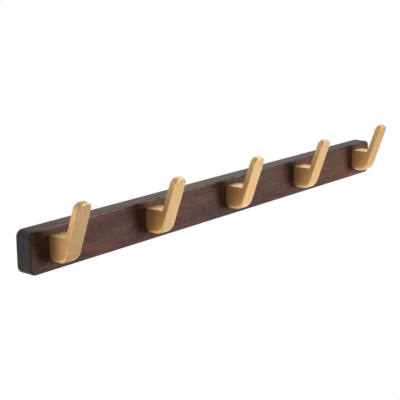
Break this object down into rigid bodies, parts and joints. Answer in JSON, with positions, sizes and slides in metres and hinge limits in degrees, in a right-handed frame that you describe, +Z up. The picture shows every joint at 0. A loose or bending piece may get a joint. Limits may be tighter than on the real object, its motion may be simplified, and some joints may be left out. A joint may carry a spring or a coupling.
{
  "type": "wall hook rack",
  "caption": "Long walnut rail with a row of J-shaped metal coat hooks, screwed on from behind and hung on the wall by two keyhole plates.",
  "frame": {"origin": "centre of the rail's back face, on the wall plane", "axes": "+X along the rail to the viewer's right, +Y into the wall, +Z up; the hooks point towards -Y"},
  "size_m": [0.636, 0.0645, 0.0763],
  "materials": {
    "walnut": "dark walnut, satin oil finish, fine grain along the rail",
    "hook_metal": "satin gold anodised, fine matt",
    "zinc_steel": "bright zinc plated"
  },
  "bodies": {
    "root": {"rail": "walnut", "hook_1": "hook_metal", "hook_2": "hook_metal", "hook_3": "hook_metal", "hook_4": "hook_metal", "hook_5": "hook_metal", "hook_screw_1_upper": "zinc_steel", "hook_screw_1_lower": "zinc_steel", "hook_screw_2_upper": "zinc_steel", "hook_screw_2_lower": "zinc_steel", "hook_screw_3_upper": "zinc_steel", "hook_screw_3_lower": "zinc_steel", "hook_screw_4_upper": "zinc_steel", "hook_screw_4_lower": "zinc_steel", "hook_screw_5_upper": "zinc_steel", "hook_screw_5_lower": "zinc_steel", "keyhole_plate_left": "zinc_steel", "keyhole_plate_right": "zinc_steel", "plate_screw_left_a": "zinc_steel", "plate_screw_left_b": "zinc_steel", "plate_screw_right_a": "zinc_steel", "plate_screw_right_b": "zinc_steel"}
  },
  "joints": []
}
